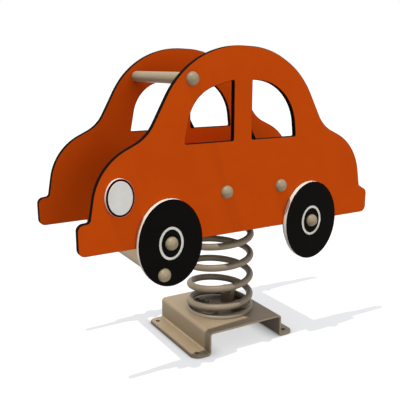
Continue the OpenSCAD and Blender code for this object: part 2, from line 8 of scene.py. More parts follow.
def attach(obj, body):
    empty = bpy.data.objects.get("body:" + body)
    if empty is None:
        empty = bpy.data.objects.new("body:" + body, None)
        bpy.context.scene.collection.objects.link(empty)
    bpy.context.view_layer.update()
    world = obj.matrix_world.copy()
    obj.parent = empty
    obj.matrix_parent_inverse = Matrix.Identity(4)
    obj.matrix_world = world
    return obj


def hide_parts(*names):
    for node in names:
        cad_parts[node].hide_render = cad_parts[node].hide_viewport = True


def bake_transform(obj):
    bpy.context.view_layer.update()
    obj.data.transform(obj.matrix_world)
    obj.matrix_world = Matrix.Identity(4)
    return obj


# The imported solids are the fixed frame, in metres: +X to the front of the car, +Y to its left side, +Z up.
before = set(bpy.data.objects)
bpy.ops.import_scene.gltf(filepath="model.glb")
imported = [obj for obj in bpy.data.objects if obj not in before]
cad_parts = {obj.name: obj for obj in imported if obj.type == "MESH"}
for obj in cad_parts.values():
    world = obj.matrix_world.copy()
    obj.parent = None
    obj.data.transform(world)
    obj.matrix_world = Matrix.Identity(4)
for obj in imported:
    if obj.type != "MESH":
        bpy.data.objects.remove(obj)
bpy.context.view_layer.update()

# Ground bracket: one 6 mm steel plate folded to a hat section, with four drilled holes for ground anchors.
# Its sheared edges are ground round, and the beige powder coat runs over every edge.
bracket_t = 0.006
bracket_l = 0.294
bracket_w = 0.346
bracket_top_w = 0.247
bracket_h = 0.068
fold_mid_r = 0.008
flange_corner_r = 0.026
plate_edge_r = 0.0015
anchor_r = 0.007
anchor_x = 0.150
anchor_y = 0.122
claw_bolt_hole_r = 0.0065
claw_bolt_from_axis = 0.060
claw_angles = np.radians(33.5 + 90 * np.arange(4))
sharp_degrees = 32.0


def rounded(corners, closed=True, step=5.0):
    """Outline through corners [a, b, radius]. Each corner becomes an arc that touches both of its sides:
    its centre lies on the bisector, radius / sin(half the corner's angle) from the corner."""
    corners = np.array(corners, float)
    line = []
    for i, (a, b, r) in enumerate(corners):
        p = np.array([a, b])
        if r == 0 or (not closed and i in (0, len(corners) - 1)):
            line.append(p[None])
            continue
        before = corners[i - 1, :2] - p
        after = corners[(i + 1) % len(corners), :2] - p
        before /= np.linalg.norm(before)
        after /= np.linalg.norm(after)
        half = np.arccos(np.clip(before @ after, -1, 1)) / 2
        bisector = (before + after) / np.linalg.norm(before + after)
        centre = p + bisector * r / np.sin(half)
        first, last = (p + side * r / np.tan(half) - centre for side in (before, after))
        start = np.arctan2(first[1], first[0])
        sweep = (np.arctan2(last[1], last[0]) - start + np.pi) % (2 * np.pi) - np.pi
        angle = start + sweep * np.linspace(0, 1, int(np.ceil(abs(np.degrees(sweep)) / step)) + 1)
        line.append(centre + r * np.stack([np.cos(angle), np.sin(angle)], axis=1))
    return np.concatenate(line)


def folded_plate(path, thickness, half_width, corner_r, edge_r, spacing=0.012, beside=0.002):
    """Plate folded along a path, as loops [loop, point, (a, b, across)]. Each loop is a rounded rectangle
    square to the path. Towards both ends of the path the loops narrow along a quarter circle, which rounds
    the plate's corners in plan, and thin along a smaller one, which rounds its edge. Loops stand at every
    spacing and beside each point of the path, and those within 0.1 mm become one."""
    length = np.concatenate([[0], np.cumsum(np.linalg.norm(np.diff(path, axis=0), axis=1))])
    quarter = 1 - np.cos(np.linspace(0, np.pi / 2, 9))
    from_end = np.concatenate([edge_r * quarter, corner_r * quarter])
    near_folds = np.concatenate([length[1:-1] - beside, length[1:-1] + beside])
    even = np.arange(0, length[-1], spacing)
    s = np.concatenate([length, near_folds, from_end, length[-1] - from_end, even])
    s = np.unique(np.round(s[(s >= 0) & (s <= length[-1])], 4))
    a, b = np.interp(s, length, path[:, 0]), np.interp(s, length, path[:, 1])
    along = np.gradient(np.stack([a, b], axis=1), s, axis=0)
    along /= np.linalg.norm(along, axis=1)[:, None]
    inset = np.minimum(s, s[-1] - s)[:, None]
    wide = half_width - corner_r + np.sqrt(corner_r ** 2 - (corner_r - np.minimum(inset, corner_r)) ** 2)
    thick = thickness / 2 - edge_r + np.sqrt(edge_r ** 2 - (edge_r - np.minimum(inset, edge_r)) ** 2)
    turn = np.linspace(0, np.pi / 2, 5)
    arc_v = np.concatenate([edge_r * (np.cos(turn) - 1), [-edge_r - beside]])
    arc_h = np.concatenate([edge_r * (np.sin(turn) - 1), [0]])
    v = np.concatenate([wide + arc_v, -wide - arc_v[::-1], -wide - arc_v, wide + arc_v[::-1]], axis=1)
    h = np.concatenate([thick + arc_h, thick + arc_h[::-1], -thick - arc_h, -thick - arc_h[::-1]], axis=1)
    return np.stack([a[:, None] - along[:, 1:] * h, b[:, None] + along[:, :1] * h, v], axis=-1)


def joined(index):
    """Quads that join each loop of point numbers to the next loop, all the way round."""
    right = np.roll(index, -1, axis=1)
    return np.stack([index[:-1], right[:-1], right[1:], index[1:]], axis=-1).reshape(-1, 4).tolist()


def build(name, skins, finishes, sharp=sharp_degrees, ring=False):
    """Mesh object from skins. A skin is (loops [loop, point, xyz], material number of each band between two
    loops). Quads join neighbouring loops; a face closes the first and the last, or a ring joins them."""
    points, faces, numbers, start = [], [], [], 0
    for loops, bands in skins:
        rows, cols = loops.shape[:2]
        index = start + np.arange(rows * cols).reshape(rows, cols)
        index = np.concatenate([index, index[:1]]) if ring else index
        bands = np.broadcast_to(bands, len(index) - 1)
        points.append(loops.reshape(-1, 3))
        faces += joined(index)
        numbers.append(np.repeat(bands, cols))
        if not ring:
            faces += [index[0, ::-1].tolist(), index[-1].tolist()]
            numbers.append(bands[[0, -1]])
        start += rows * cols
    mesh = bpy.data.meshes.new(name)
    mesh.from_pydata(np.concatenate(points).tolist(), [], faces)
    mesh.polygons.foreach_set("material_index", np.concatenate(numbers).astype(np.int32))
    return finished(name, mesh, finishes, sharp)


def finished(name, mesh, finishes, sharp):
    """Turns a mesh's faces outwards, shades it smooth up to an angle and makes it an object."""
    shell = bmesh.new()
    shell.from_mesh(mesh)
    bmesh.ops.recalc_face_normals(shell, faces=shell.faces)
    shell.to_mesh(mesh)
    shell.free()
    mesh.polygons.foreach_set("use_smooth", np.ones(len(mesh.polygons), bool))
    mesh.set_sharp_from_angle(angle=np.radians(sharp))
    for finish in finishes:
        mesh.materials.append(finish)
    made = bpy.data.objects.new(name, mesh)
    bpy.context.scene.collection.objects.link(made)
    return made


def ringed(axis, height, radius, around):
    """Loops [loop, point, xyz] round an axis, from each point's height along it, radius and angle around."""
    across = [k for k in range(3) if k != axis]
    loops = np.empty((len(height), len(around), 3))
    loops[..., axis] = height
    loops[..., across[0]] = radius * np.cos(around)
    loops[..., across[1]] = radius * np.sin(around)
    return loops


def drill(plate, spots, axis, radius, thickness, chamfer=0.0008, beyond=0.001, sides=40):
    """Cuts a round hole at each spot on a plate's middle plane. The cutter is a spool, a cylinder that flares
    at 45 degrees where it leaves each face, so that the hole gets a chamfered edge."""
    turn = np.linspace(0, 2 * np.pi, sides, endpoint=False)
    half = thickness / 2
    depth = np.array([-half - beyond, -half + chamfer, half - chamfer, half + beyond])
    r = radius + np.array([chamfer + beyond, 0, 0, chamfer + beyond])
    spool = ringed(axis, depth[:, None], r[:, None], turn)
    cutter = build("cutter", [(spool + np.array(spot), 0) for spot in spots], [])
    cut = plate.modifiers.new("holes", "BOOLEAN")
    cut.object = cutter
    cut.solver = "EXACT"
    whole = plate.evaluated_get(bpy.context.evaluated_depsgraph_get())
    mesh = bpy.data.meshes.new_from_object(whole)
    plate.modifiers.clear()
    plate.data = mesh
    mesh.set_sharp_from_angle(angle=np.radians(sharp_degrees))
    bpy.data.objects.remove(cutter)


def linear(code):
    """Linear RGBA of an sRGB hex colour."""
    srgb = np.array([int(code[i:i + 2], 16) for i in (1, 3, 5)]) / 255
    rgb = np.where(srgb <= 0.04045, srgb / 12.92, ((srgb + 0.055) / 1.055) ** 2.4)
    return (*rgb.tolist(), 1.0)


def add(tree, kind, inputs=(), **settings):
    """Adds a node to a tree with its settings; each input is linked to a socket or set to a value.
    A Mix node's sockets go by number: 0 its factor, 2 and 3 its numbers, 6 and 7 its colours; its outputs
    are 0 for a number and 2 for a colour."""
    made = tree.nodes.new(kind)
    for name, value in settings.items():
        setattr(made, name, value)
    for name, value in dict(inputs).items():
        if isinstance(value, bpy.types.NodeSocket):
            tree.links.new(value, made.inputs[name])
        else:
            made.inputs[name].default_value = value
    return made


def new_finish(name):
    """Empty material, its node tree and the Object coordinates that its patterns read."""
    made = bpy.data.materials.new(name)
    made.use_nodes = True
    made.node_tree.nodes.clear()
    return made, made.node_tree, add(made.node_tree, "ShaderNodeTexCoord").outputs["Object"]


def fit(piece, body, slot, *nodes):
    """Puts a piece on its CAD body and lets it stand for its CAD nodes. The slot is not used."""
    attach(piece, body)
    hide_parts(*nodes)


# Powder coat on steel: baked polyester, half matt. It flows into an orange peel of about 2 mm, drawn at 3 mm
# so that it shows. Its colour and gloss drift over a hand's breadth, and painted shade darkens it in
# recesses.
powder_coat, tree, place = new_finish("powder_coated_steel_beige")
peel = add(tree, "ShaderNodeTexNoise", {
    "Vector": place, "Scale": 1 / 0.003, "Detail": 2.0, "Roughness": 0.45})
drift = add(tree, "ShaderNodeTexNoise", {
    "Vector": place, "Scale": 1 / 0.09, "Detail": 4.0, "Roughness": 0.6})
grit = add(tree, "ShaderNodeTexNoise", {"Vector": place, "Scale": 1 / 0.0015, "Detail": 1.0})
tone = add(tree, "ShaderNodeValToRGB", {"Fac": drift.outputs["Fac"]})
tone.color_ramp.elements[0].position = 0.30
tone.color_ramp.elements[0].color = linear("#917f65")
tone.color_ramp.elements[1].position = 0.72
tone.color_ramp.elements[1].color = linear("#99886d")
speckle = add(tree, "ShaderNodeMapRange", {
    "Value": grit.outputs["Fac"], "From Min": 0.3, "From Max": 0.7, "To Min": 0.94, "To Max": 1.05})
# Ambient occlusion within 15 cm darkens the colour where parts stand close: painted shade.
nook = add(tree, "ShaderNodeAmbientOcclusion", {"Distance": 0.15})
painted_shade = add(tree, "ShaderNodeMapRange", {
    "Value": nook.outputs["AO"], "From Min": 0.2, "From Max": 0.8, "To Min": 0.50, "To Max": 1.0})
with_painted_shade = add(tree, "ShaderNodeMath", {
    0: speckle.outputs["Result"], 1: painted_shade.outputs["Result"]}, operation="MULTIPLY")
coat = add(tree, "ShaderNodeMix", {
    0: 1.0, 6: tone.outputs["Color"], 7: with_painted_shade.outputs[0]}, data_type="RGBA", blend_type="MULTIPLY")
gloss = add(tree, "ShaderNodeMapRange", {
    "Value": drift.outputs["Fac"], "From Min": 0.3, "From Max": 0.7, "To Min": 0.40, "To Max": 0.52})
relief = add(tree, "ShaderNodeBump", {
    "Height": peel.outputs["Fac"], "Strength": 0.25, "Distance": 0.0004})
shader = add(tree, "ShaderNodeBsdfPrincipled", {
    "Base Color": coat.outputs[2], "Roughness": gloss.outputs["Result"], "Normal": relief.outputs["Normal"],
    "IOR": 1.5, "Specular IOR Level": 0.35})
add(tree, "ShaderNodeOutputMaterial", {"Surface": shader.outputs["BSDF"]})

mid_low = bracket_t / 2
mid_top = bracket_h - bracket_t / 2
web_x = bracket_top_w / 2 - bracket_t / 2
hat = rounded([(-bracket_w / 2, mid_low, 0), (-web_x, mid_low, fold_mid_r), (-web_x, mid_top, fold_mid_r),
               (web_x, mid_top, fold_mid_r), (web_x, mid_low, fold_mid_r), (bracket_w / 2, mid_low, 0)],
              closed=False)
plate = folded_plate(hat, bracket_t, bracket_l / 2, flange_corner_r, plate_edge_r)
bracket = build("ground_bracket_plate", [(plate[..., [0, 2, 1]], 0)], [powder_coat])
anchors = [(x, y, mid_low) for x in (-anchor_x, anchor_x) for y in (-anchor_y, anchor_y)]
drill(bracket, anchors, 2, anchor_r, bracket_t)
claw_bolts_at = claw_bolt_from_axis * np.stack([np.cos(claw_angles), np.sin(claw_angles)], axis=1)
drill(bracket, [(x, y, mid_top) for x, y in claw_bolts_at], 2, claw_bolt_hole_r, bracket_t)
fit(bracket, "ground", "tan_powder_coat", "ground_bracket")

# Spring: one bar of 20 mm spring steel, coiled hot to 200 mm outside, ends ground flat, powder coated.
# It is shown in two lengths that meet at mid-height.
wire_r = 0.010
wire_end_chamfer = 0.0015
coil_r = 0.090
spring_low = 0.0683
spring_high = 0.4837
ramp_turns = 2.4
level_turns = 4.4
all_turns = 2 * ramp_turns + level_turns
seat_turn = 1.15
tip_turn = 0.42
first_angle = np.radians(203.8)
coil_loops = 603

# The same powder coat, greyer and darker as painted shade, with painted shade deeper between turns and
# panels.
spring_coat = powder_coat.copy()
spring_coat.name = "powder_coated_spring_steel"
# Darker ramp colours and a 30 cm reach for ambient occlusion: both paint shade on the spring.
for node in spring_coat.node_tree.nodes:
    if node.type == "VALTORGB":
        node.color_ramp.elements[0].color = linear("#7f725e")
        node.color_ramp.elements[1].color = linear("#877a65")
    elif node.type == "AMBIENT_OCCLUSION":
        node.inputs["Distance"].default_value = 0.30


def climb(u):
    """Climb of the wire in pitches after u turns: a parabola over the first turns, level pitch, and the same
    parabola turned over at the top."""
    u = np.asarray(u, float)
    opening = u ** 2 / (2 * ramp_turns)
    closing = all_turns - ramp_turns - (all_turns - u) ** 2 / (2 * ramp_turns)
    level = np.where(u < ramp_turns + level_turns, u - ramp_turns / 2, closing)
    return np.where(u < ramp_turns, opening, level)


pitch = (spring_high - spring_low - 2 * wire_r) / (climb(all_turns - seat_turn) - climb(seat_turn))


def wire_height(u):
    """Height of the wire's middle after u turns; it lies full on the lower seat at the seat turn."""
    return spring_low + wire_r + pitch * (climb(u) - climb(seat_turn))


def coil(u, sides=28, du=0.01):
    """Round bar along a helix, as loops [loop, point, xyz]: circles square to the helix's slope, which is the
    rise from du turns before to du turns after by the way between. Where the bar would pass the plane of a
    seat it is cut off flat, as by grinding. The end loops shrink to a chamfer."""
    u = np.concatenate([u[:1], u, u[-1:]])[:, None]
    r = np.full(len(u), wire_r)
    r[[0, -1]] -= wire_end_chamfer
    around = np.linspace(0, 2 * np.pi, sides, endpoint=False)
    angle = first_angle + 2 * np.pi * (u - seat_turn)
    slope = np.arctan2(wire_height(u + du) - wire_height(u - du), 4 * du * np.pi * coil_r)
    out = r[:, None] * np.cos(around)
    up = r[:, None] * np.sin(around)
    x = (coil_r + out) * np.cos(angle) + up * np.sin(angle) * np.sin(slope)
    y = (coil_r + out) * np.sin(angle) - up * np.cos(angle) * np.sin(slope)
    z = np.clip(wire_height(u) + up * np.cos(slope), spring_low, spring_high)
    return np.stack([x, y, z], axis=-1)


turns = np.linspace(tip_turn, all_turns - tip_turn, coil_loops)
middle = coil_loops // 2
lower_coil = build("spring_lower_turns", [(coil(turns[:middle + 1]), 0)], [spring_coat], sharp=50)
upper_coil = build("spring_upper_turns", [(coil(turns[middle:]), 0)], [spring_coat], sharp=50)
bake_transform(lower_coil)
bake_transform(upper_coil)
for length in (lower_coil, upper_coil):
    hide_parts("spring")

# Seat carrier: an 8 mm steel plate across the car, folded down at both sides, powder coated like the bracket.
# The spring is clamped under it, the panels are bolted to its sides and the seat on its top.
carrier_t = 0.008
carrier_l = 0.230
carrier_top = 0.492
carrier_low = 0.440
carrier_fold_r = 0.010
carrier_corner_r = 0.008
panel_inner_y = 0.155
carrier_mid = carrier_top - carrier_t / 2
side_y = panel_inner_y - carrier_t / 2
channel = rounded([(-side_y, carrier_low, 0), (-side_y, carrier_mid, carrier_fold_r),
                   (side_y, carrier_mid, carrier_fold_r), (side_y, carrier_low, 0)], closed=False)
plate = folded_plate(channel, carrier_t, carrier_l / 2, carrier_corner_r, plate_edge_r)
carrier = build("seat_carrier_plate", [(plate[..., [2, 0, 1]], 0)], [powder_coat])
fit(carrier, "rider", "tan_powder_coat", "seat_carrier")

# Side panels: 15 mm compact laminate, paper and resin pressed hot, orange on both faces, black all through.
# Each is routed to a car's outline with two windows, and its edges are eased with a small round.
panel_outer_y = 0.170
panel_low = 0.352
panel_edge_r = 0.0012
wheel_w = 0.178
wheel_h = 0.223
wheel_z = 0.356
wheels_x = (0.258, -0.189)
lobe_inset = 0.009

orange_face, tree, place = new_finish("compact_laminate_orange_face")
# Orange decor paper under melamine resin, pressed against a fine texture plate of about 1 mm, drawn at 2 mm.
# It is even in colour, half matt, with faint streaks and rubbed patches that change the gloss.
plate_grain = add(tree, "ShaderNodeTexNoise", {"Vector": place, "Scale": 1 / 0.002, "Detail": 2.0})
rubbed = add(tree, "ShaderNodeTexNoise", {
    "Vector": place, "Scale": 1 / 0.12, "Detail": 5.0, "Roughness": 0.6})
tone = add(tree, "ShaderNodeValToRGB", {"Fac": rubbed.outputs["Fac"]})
tone.color_ramp.elements[0].position = 0.30
tone.color_ramp.elements[0].color = linear("#bb4509")
tone.color_ramp.elements[1].position = 0.70
tone.color_ramp.elements[1].color = linear("#bf480a")
gloss = add(tree, "ShaderNodeMapRange", {
    "Value": rubbed.outputs["Fac"], "From Min": 0.3, "From Max": 0.7, "To Min": 0.42, "To Max": 0.56})
relief = add(tree, "ShaderNodeBump", {
    "Height": plate_grain.outputs["Fac"], "Strength": 0.15, "Distance": 0.0003})
shader = add(tree, "ShaderNodeBsdfPrincipled", {
    "Base Color": tone.outputs["Color"], "Roughness": gloss.outputs["Result"],
    "Normal": relief.outputs["Normal"], "IOR": 1.5, "Specular IOR Level": 0.008})
add(tree, "ShaderNodeOutputMaterial", {"Surface": shader.outputs["BSDF"]})

black_core, tree, place = new_finish("compact_laminate_black_core")
# Kraft paper soaked in phenolic resin: black layers of 0.2 mm, drawn at 0.8 mm, with router marks across.
flat_layers = add(tree, "ShaderNodeMapping", {"Vector": place, "Scale": (120.0, 1 / 0.0008, 120.0)})
layers = add(tree, "ShaderNodeTexNoise", {
    "Vector": flat_layers.outputs["Vector"], "Scale": 1.0, "Detail": 2.0})
tone = add(tree, "ShaderNodeValToRGB", {"Fac": layers.outputs["Fac"]})
tone.color_ramp.elements[0].position = 0.35
tone.color_ramp.elements[0].color = linear("#0d0b09")
tone.color_ramp.elements[1].position = 0.70
tone.color_ramp.elements[1].color = linear("#15110e")
relief = add(tree, "ShaderNodeBump", {
    "Height": layers.outputs["Fac"], "Strength": 0.2, "Distance": 0.0002})
shader = add(tree, "ShaderNodeBsdfPrincipled", {
    "Base Color": tone.outputs["Color"], "Roughness": 0.55, "Normal": relief.outputs["Normal"],
    "IOR": 1.55, "Specular IOR Level": 0.004})
add(tree, "ShaderNodeOutputMaterial", {"Surface": shader.outputs["BSDF"]})


def sheet(name, outlines, low, high, edge_r, axis, finishes, sharp=50.0):
    """Flat sheet cut to outlines, the first outside and the rest windows, between two levels along an axis.
    The edge is a profile carried round each outline: a quarter round, a straight and a quarter round, each
    point moved into the sheet along the outline's normal. Both faces are filled between the outlines.
    The faces have the first finish and the edges the second."""
    turn = np.linspace(0, np.pi / 2, 5)
    inset = edge_r * np.concatenate([1 - np.sin(turn), 1 - np.cos(turn)])
    level = np.concatenate([low + edge_r * (1 - np.cos(turn)), high - edge_r * (1 - np.sin(turn))])
    across = [i for i in range(3) if i != axis]
    points, faces, first, last, start = [], [], [], [], 0
    for k, line in enumerate(outlines):
        area = np.sum(line[:, 0] * np.roll(line[:, 1], -1) - line[:, 1] * np.roll(line[:, 0], -1))
        line = line if (area > 0) == (k == 0) else line[::-1]
        ahead = np.roll(line, -1, axis=0) - line
        ahead /= np.linalg.norm(ahead, axis=1)[:, None]
        along = ahead + np.roll(ahead, 1, axis=0)
        along /= np.linalg.norm(along, axis=1)[:, None]
        inwards = np.stack([-along[:, 1], along[:, 0]], axis=1)
        loops = np.empty((len(inset), len(line), 3))
        flat = line + inset[:, None, None] * inwards
        loops[..., across] = flat
        loops[..., axis] = level[:, None]
        index = start + np.arange(loops[..., 0].size).reshape(loops.shape[:2])
        faces += joined(index)
        points.append(loops.reshape(-1, 3))
        first.append((index[0], flat[0]))
        last.append((index[-1], flat[-1]))
        start += index.size
    edge_count = len(faces)
    for face in (first, last):
        number = np.concatenate([index for index, _ in face])
        corners = tessellate_polygon([[(a, b, 0) for a, b in flat.tolist()] for _, flat in face])
        faces += number[np.array(corners)].tolist()
    mesh = bpy.data.meshes.new(name)
    mesh.from_pydata(np.concatenate(points).tolist(), [], faces)
    is_face = np.arange(len(faces)) >= edge_count
    mesh.polygons.foreach_set("material_index", np.where(is_face, 0, 1).astype(np.int32))
    made = finished(name, mesh, finishes, sharp)
    mesh.polygons.foreach_set("use_smooth", ~is_face)
    return made


# Corners in mm: x, height above the panel's lower edge, and the radius that rounds the corner.
car = np.array([(491, 0, 17), (491, 76, 17), (460, 79, 9), (437, 208, 152), (310, 268, 105), (212, 447, 228),
                (78, 483, 228), (-40, 478, 228), (-151, 412, 228), (-231, 268, 105), (-359, 208, 152),
                (-382, 83, 9), (-413, 66, 17), (-413, 0, 17)]) / 1000
front_window = np.array([(211, 245, 4), (187, 367, 105), (68, 398, 4), (68, 245, 4)]) / 1000
rear_window = np.array([(12, 245, 4), (12, 398, 4), (-117, 383, 130), (-133, 245, 4)]) / 1000
up = np.array([0, panel_low])
outline = rounded(car, step=3.0) + up
# Behind each wheel the panel hangs down in a lobe, an oval a little smaller than the wheel.
lobe_a = wheel_w / 2 - lobe_inset
lobe_b = wheel_h / 2 - lobe_inset
dip = np.arcsin((panel_low - wheel_z) / lobe_b)
under = np.linspace(np.pi - dip, 2 * np.pi + dip, 60)
lobes = [np.stack([x + lobe_a * np.cos(under), wheel_z + lobe_b * np.sin(under)], axis=1)
         for x in wheels_x[::-1]]
outline = np.concatenate([outline, *lobes])
windows = [rounded(front_window, step=3.0) + up, rounded(rear_window, step=3.0) + up]
for side, name in ((1, "left"), (-1, "right")):
    low, high = sorted((side * panel_inner_y, side * panel_outer_y))
    panel = sheet(name + "_side_panel", [outline, *windows], low, high, panel_edge_r, 1,
                  [orange_face, black_core])
    fit(panel, "rider", "panel_orange", name + "_panel")

# Corner blocks: black wedges in the rear windows' front lower corners, as the photograph shows them.
# They are taken to be offcuts of the laminate's core, glued in just under both faces of the panel.
block_l = 0.0145
block_h = 0.025
block_back = 0.0005
block_edge_r = 0.0004
corner = rear_window[0, :2] + up
block_line = corner + np.array([(0, 0), (0, block_h), (-block_l, 0)])
for side, name in ((1, "left"), (-1, "right")):
    low, high = sorted((side * (panel_inner_y + block_back), side * (panel_outer_y - block_back)))
    block = sheet(name + "_window_corner_block", [block_line], low, high, block_edge_r, 1,
                  [black_core, black_core])
    fit(block, "rider", "panel_orange", name + "_panel")

# Seat: the same orange laminate as the panels, cut with wide round corners, bolted down on the carrier.
# Round-headed bolts come through from the top, with washers and nuts under the carrier.
seat_t = 0.015
seat_half_l = 0.116
seat_ahead = 0.010
seat_half_w = 0.1545
seat_corner_r = 0.040
seat_edge_r = 0.003
seat_plan = rounded([(sx * seat_half_l + seat_ahead, sy * seat_half_w, seat_corner_r)
                     for sx, sy in ((1, -1), (1, 1), (-1, 1), (-1, -1))], step=4.0)
seat = sheet("seat_sheet", [seat_plan], carrier_top, carrier_top + seat_t, seat_edge_r, 2,
             [orange_face, black_core])
fit(seat, "rider", "panel_orange", "seat_board")

# Handlebar and footrest: straight steel tubes between the panels, powder coated, with a threaded plug in each
# end. A bolt through the panel, and through the wheel at the footrest, pulls each end against the laminate.
handle_r = 0.015
handle_at = np.array([0.189, 0.754])
foot_r = 0.01685
foot_at = np.array([0.279, 0.277])
tube_wall = 0.0026
tube_chamfer = 0.0008
near_end = 0.004


def turned(profile, spot, axis, sign=1, sides=64):
    """Surface of revolution, as loops [loop, point, xyz]: each [radius, height] of a profile becomes a circle
    about a line through the spot, along an axis and in the sign's direction."""
    profile = np.array(profile, float)
    around = np.linspace(0, 2 * np.pi, sides, endpoint=False)
    return ringed(axis, sign * profile[:, 1:], profile[:, :1], around) + np.array(spot)


half = panel_inner_y
for name, radius, at in (("handlebar", handle_r, handle_at), ("footrest", foot_r, foot_at)):
    profile = [(radius - tube_wall, -half), (radius - tube_chamfer, -half), (radius, -half + tube_chamfer),
               (radius, -half + near_end), (radius, half - near_end), (radius, half - tube_chamfer),
               (radius - tube_chamfer, half), (radius - tube_wall, half)]
    tube = build(name + "_tube", [(turned(profile, (at[0], 0, at[1]), 1), 0)], [powder_coat])
    fit(tube, "rider", "tan_powder_coat", name)

# Wheels: 15 mm polyethylene sheet, pressed in three layers, black skins on a white core.
# The ring is routed through the skin, so the core shows in it and round the edge.
wheel_t = 0.015
skin_t = 0.0012
ring_half_h = 0.0425
ring_line = 0.0065
ring_deep = 0.0015
ring_lean = 0.0003
beside_ring = 0.002
beside_rim = 0.005

black_skin, tree, place = new_finish("polyethylene_sheet_black_skin")
# Extruded polyethylene, embossed with a fine pebble of about 1.5 mm, drawn at 2.5 mm, dull black with scuffs.
pebble = add(tree, "ShaderNodeTexVoronoi", {"Vector": place, "Scale": 1 / 0.0025}, feature="SMOOTH_F1")
scuffs = add(tree, "ShaderNodeTexNoise", {
    "Vector": place, "Scale": 1 / 0.05, "Detail": 6.0, "Roughness": 0.65})
tone = add(tree, "ShaderNodeValToRGB", {"Fac": scuffs.outputs["Fac"]})
tone.color_ramp.elements[0].position = 0.35
tone.color_ramp.elements[0].color = linear("#060504")
tone.color_ramp.elements[1].position = 0.75
tone.color_ramp.elements[1].color = linear("#0b0a08")
gloss = add(tree, "ShaderNodeMapRange", {
    "Value": scuffs.outputs["Fac"], "From Min": 0.3, "From Max": 0.7, "To Min": 0.50, "To Max": 0.64})
relief = add(tree, "ShaderNodeBump", {
    "Height": pebble.outputs["Distance"], "Strength": 0.25, "Distance": 0.0004})
shader = add(tree, "ShaderNodeBsdfPrincipled", {
    "Base Color": tone.outputs["Color"], "Roughness": gloss.outputs["Result"],
    "Normal": relief.outputs["Normal"], "IOR": 1.5, "Specular IOR Level": 0.03})
add(tree, "ShaderNodeOutputMaterial", {"Surface": shader.outputs["BSDF"]})

white_core, tree, place = new_finish("polyethylene_sheet_white_core")
# Natural white polyethylene where a router cut it: waxy, with cutter marks about 1 mm apart, drawn at 2 mm.
marks = add(tree, "ShaderNodeTexNoise", {"Vector": place, "Scale": 1 / 0.0022, "Detail": 2.0})
shade = add(tree, "ShaderNodeTexNoise", {"Vector": place, "Scale": 1 / 0.03, "Detail": 3.0})
tone = add(tree, "ShaderNodeValToRGB", {"Fac": shade.outputs["Fac"]})
tone.color_ramp.elements[0].position = 0.30
tone.color_ramp.elements[0].color = linear("#d2cec2")
tone.color_ramp.elements[1].position = 0.70
tone.color_ramp.elements[1].color = linear("#dedad0")
relief = add(tree, "ShaderNodeBump", {
    "Height": marks.outputs["Fac"], "Strength": 0.2, "Distance": 0.0003})
shader = add(tree, "ShaderNodeBsdfPrincipled", {
    "Base Color": tone.outputs["Color"], "Roughness": 0.45, "Normal": relief.outputs["Normal"],
    "IOR": 1.5, "Specular IOR Level": 0.15})
add(tree, "ShaderNodeOutputMaterial", {"Surface": shader.outputs["BSDF"]})


def oval_disc(centre, half_w, half_h, profile, side, sides=144):
    """Disc with an oval outline, as loops [loop, point, xyz]. Each [share, inset, depth] of a profile becomes
    an oval: the disc's half sizes times the share, less the inset, at that depth from the panel's face."""
    profile = np.array(profile, float)
    around = np.linspace(0, 2 * np.pi, sides, endpoint=False)
    a = half_w * profile[:, :1] - profile[:, 1:2]
    b = half_h * profile[:, :1] - profile[:, 1:2]
    x = centre[0] + a * np.cos(around)
    z = centre[1] + b * np.sin(around)
    y = np.broadcast_to(side * (panel_outer_y + profile[:, 2:]), x.shape)
    return np.stack([x, y, z], axis=-1)


# From the middle of the back over the edge to the middle of the face. The rounds of the edge are as thick as
# the skin, and shares of 0.15, 0.3 and 0.9 only divide the flat faces. Material 0 is the skin; 1 is the core,
# in the straight of the edge and in the ring.
turn = np.linspace(0, np.pi / 2, 4)
edge_inset = skin_t * (1 - np.sin(turn))
edge_depth = skin_t * (1 - np.cos(turn))
ring_share = ring_half_h / (wheel_h / 2)
ring_floor = wheel_t - ring_deep
wheel_profile = [(0.3, 0, 0), (0.9, 0, 0)]
wheel_profile += [(1, i, d) for i, d in zip(edge_inset, edge_depth)]
wheel_profile += [(1, i, wheel_t - d) for i, d in zip(edge_inset[::-1], edge_depth[::-1])]
wheel_profile += [(1, beside_rim, wheel_t), (ring_share, -beside_ring, wheel_t), (ring_share, 0, wheel_t),
                  (ring_share, ring_lean, ring_floor), (ring_share, ring_line - ring_lean, ring_floor),
                  (ring_share, ring_line, wheel_t), (ring_share, ring_line + beside_ring, wheel_t),
                  (0.15, 0, wheel_t)]
wheel_bands = [0] * 5 + [1] + [0] * 6 + [1, 1, 1] + [0, 0]
for end, x in zip(("front", "rear"), wheels_x):
    for side, name in ((1, "left"), (-1, "right")):
        loops = oval_disc((x, wheel_z), wheel_w / 2, wheel_h / 2, wheel_profile, side)
        wheel = build(end + "_" + name + "_wheel_disc", [(loops, wheel_bands)], [black_skin, white_core])
        fit(wheel, "rider", "wheel_black", end + "_" + name + "_wheel")

# Lamps: 10 mm white polyethylene discs, held by two pins glued into the panel.
# A step is routed round the edge of the face and filled with dark red paint, as a line round the lamp.
lamp_w = 0.073
lamp_h = 0.092
lamp_t = 0.010
lamp_at = (0.387, 0.484)
lamp_line = 0.0055
lamp_bevel = 0.0008
line_bevel = 0.0004
beside_line = 0.003

lamp_white, tree, place = new_finish("polyethylene_sheet_white_skin")
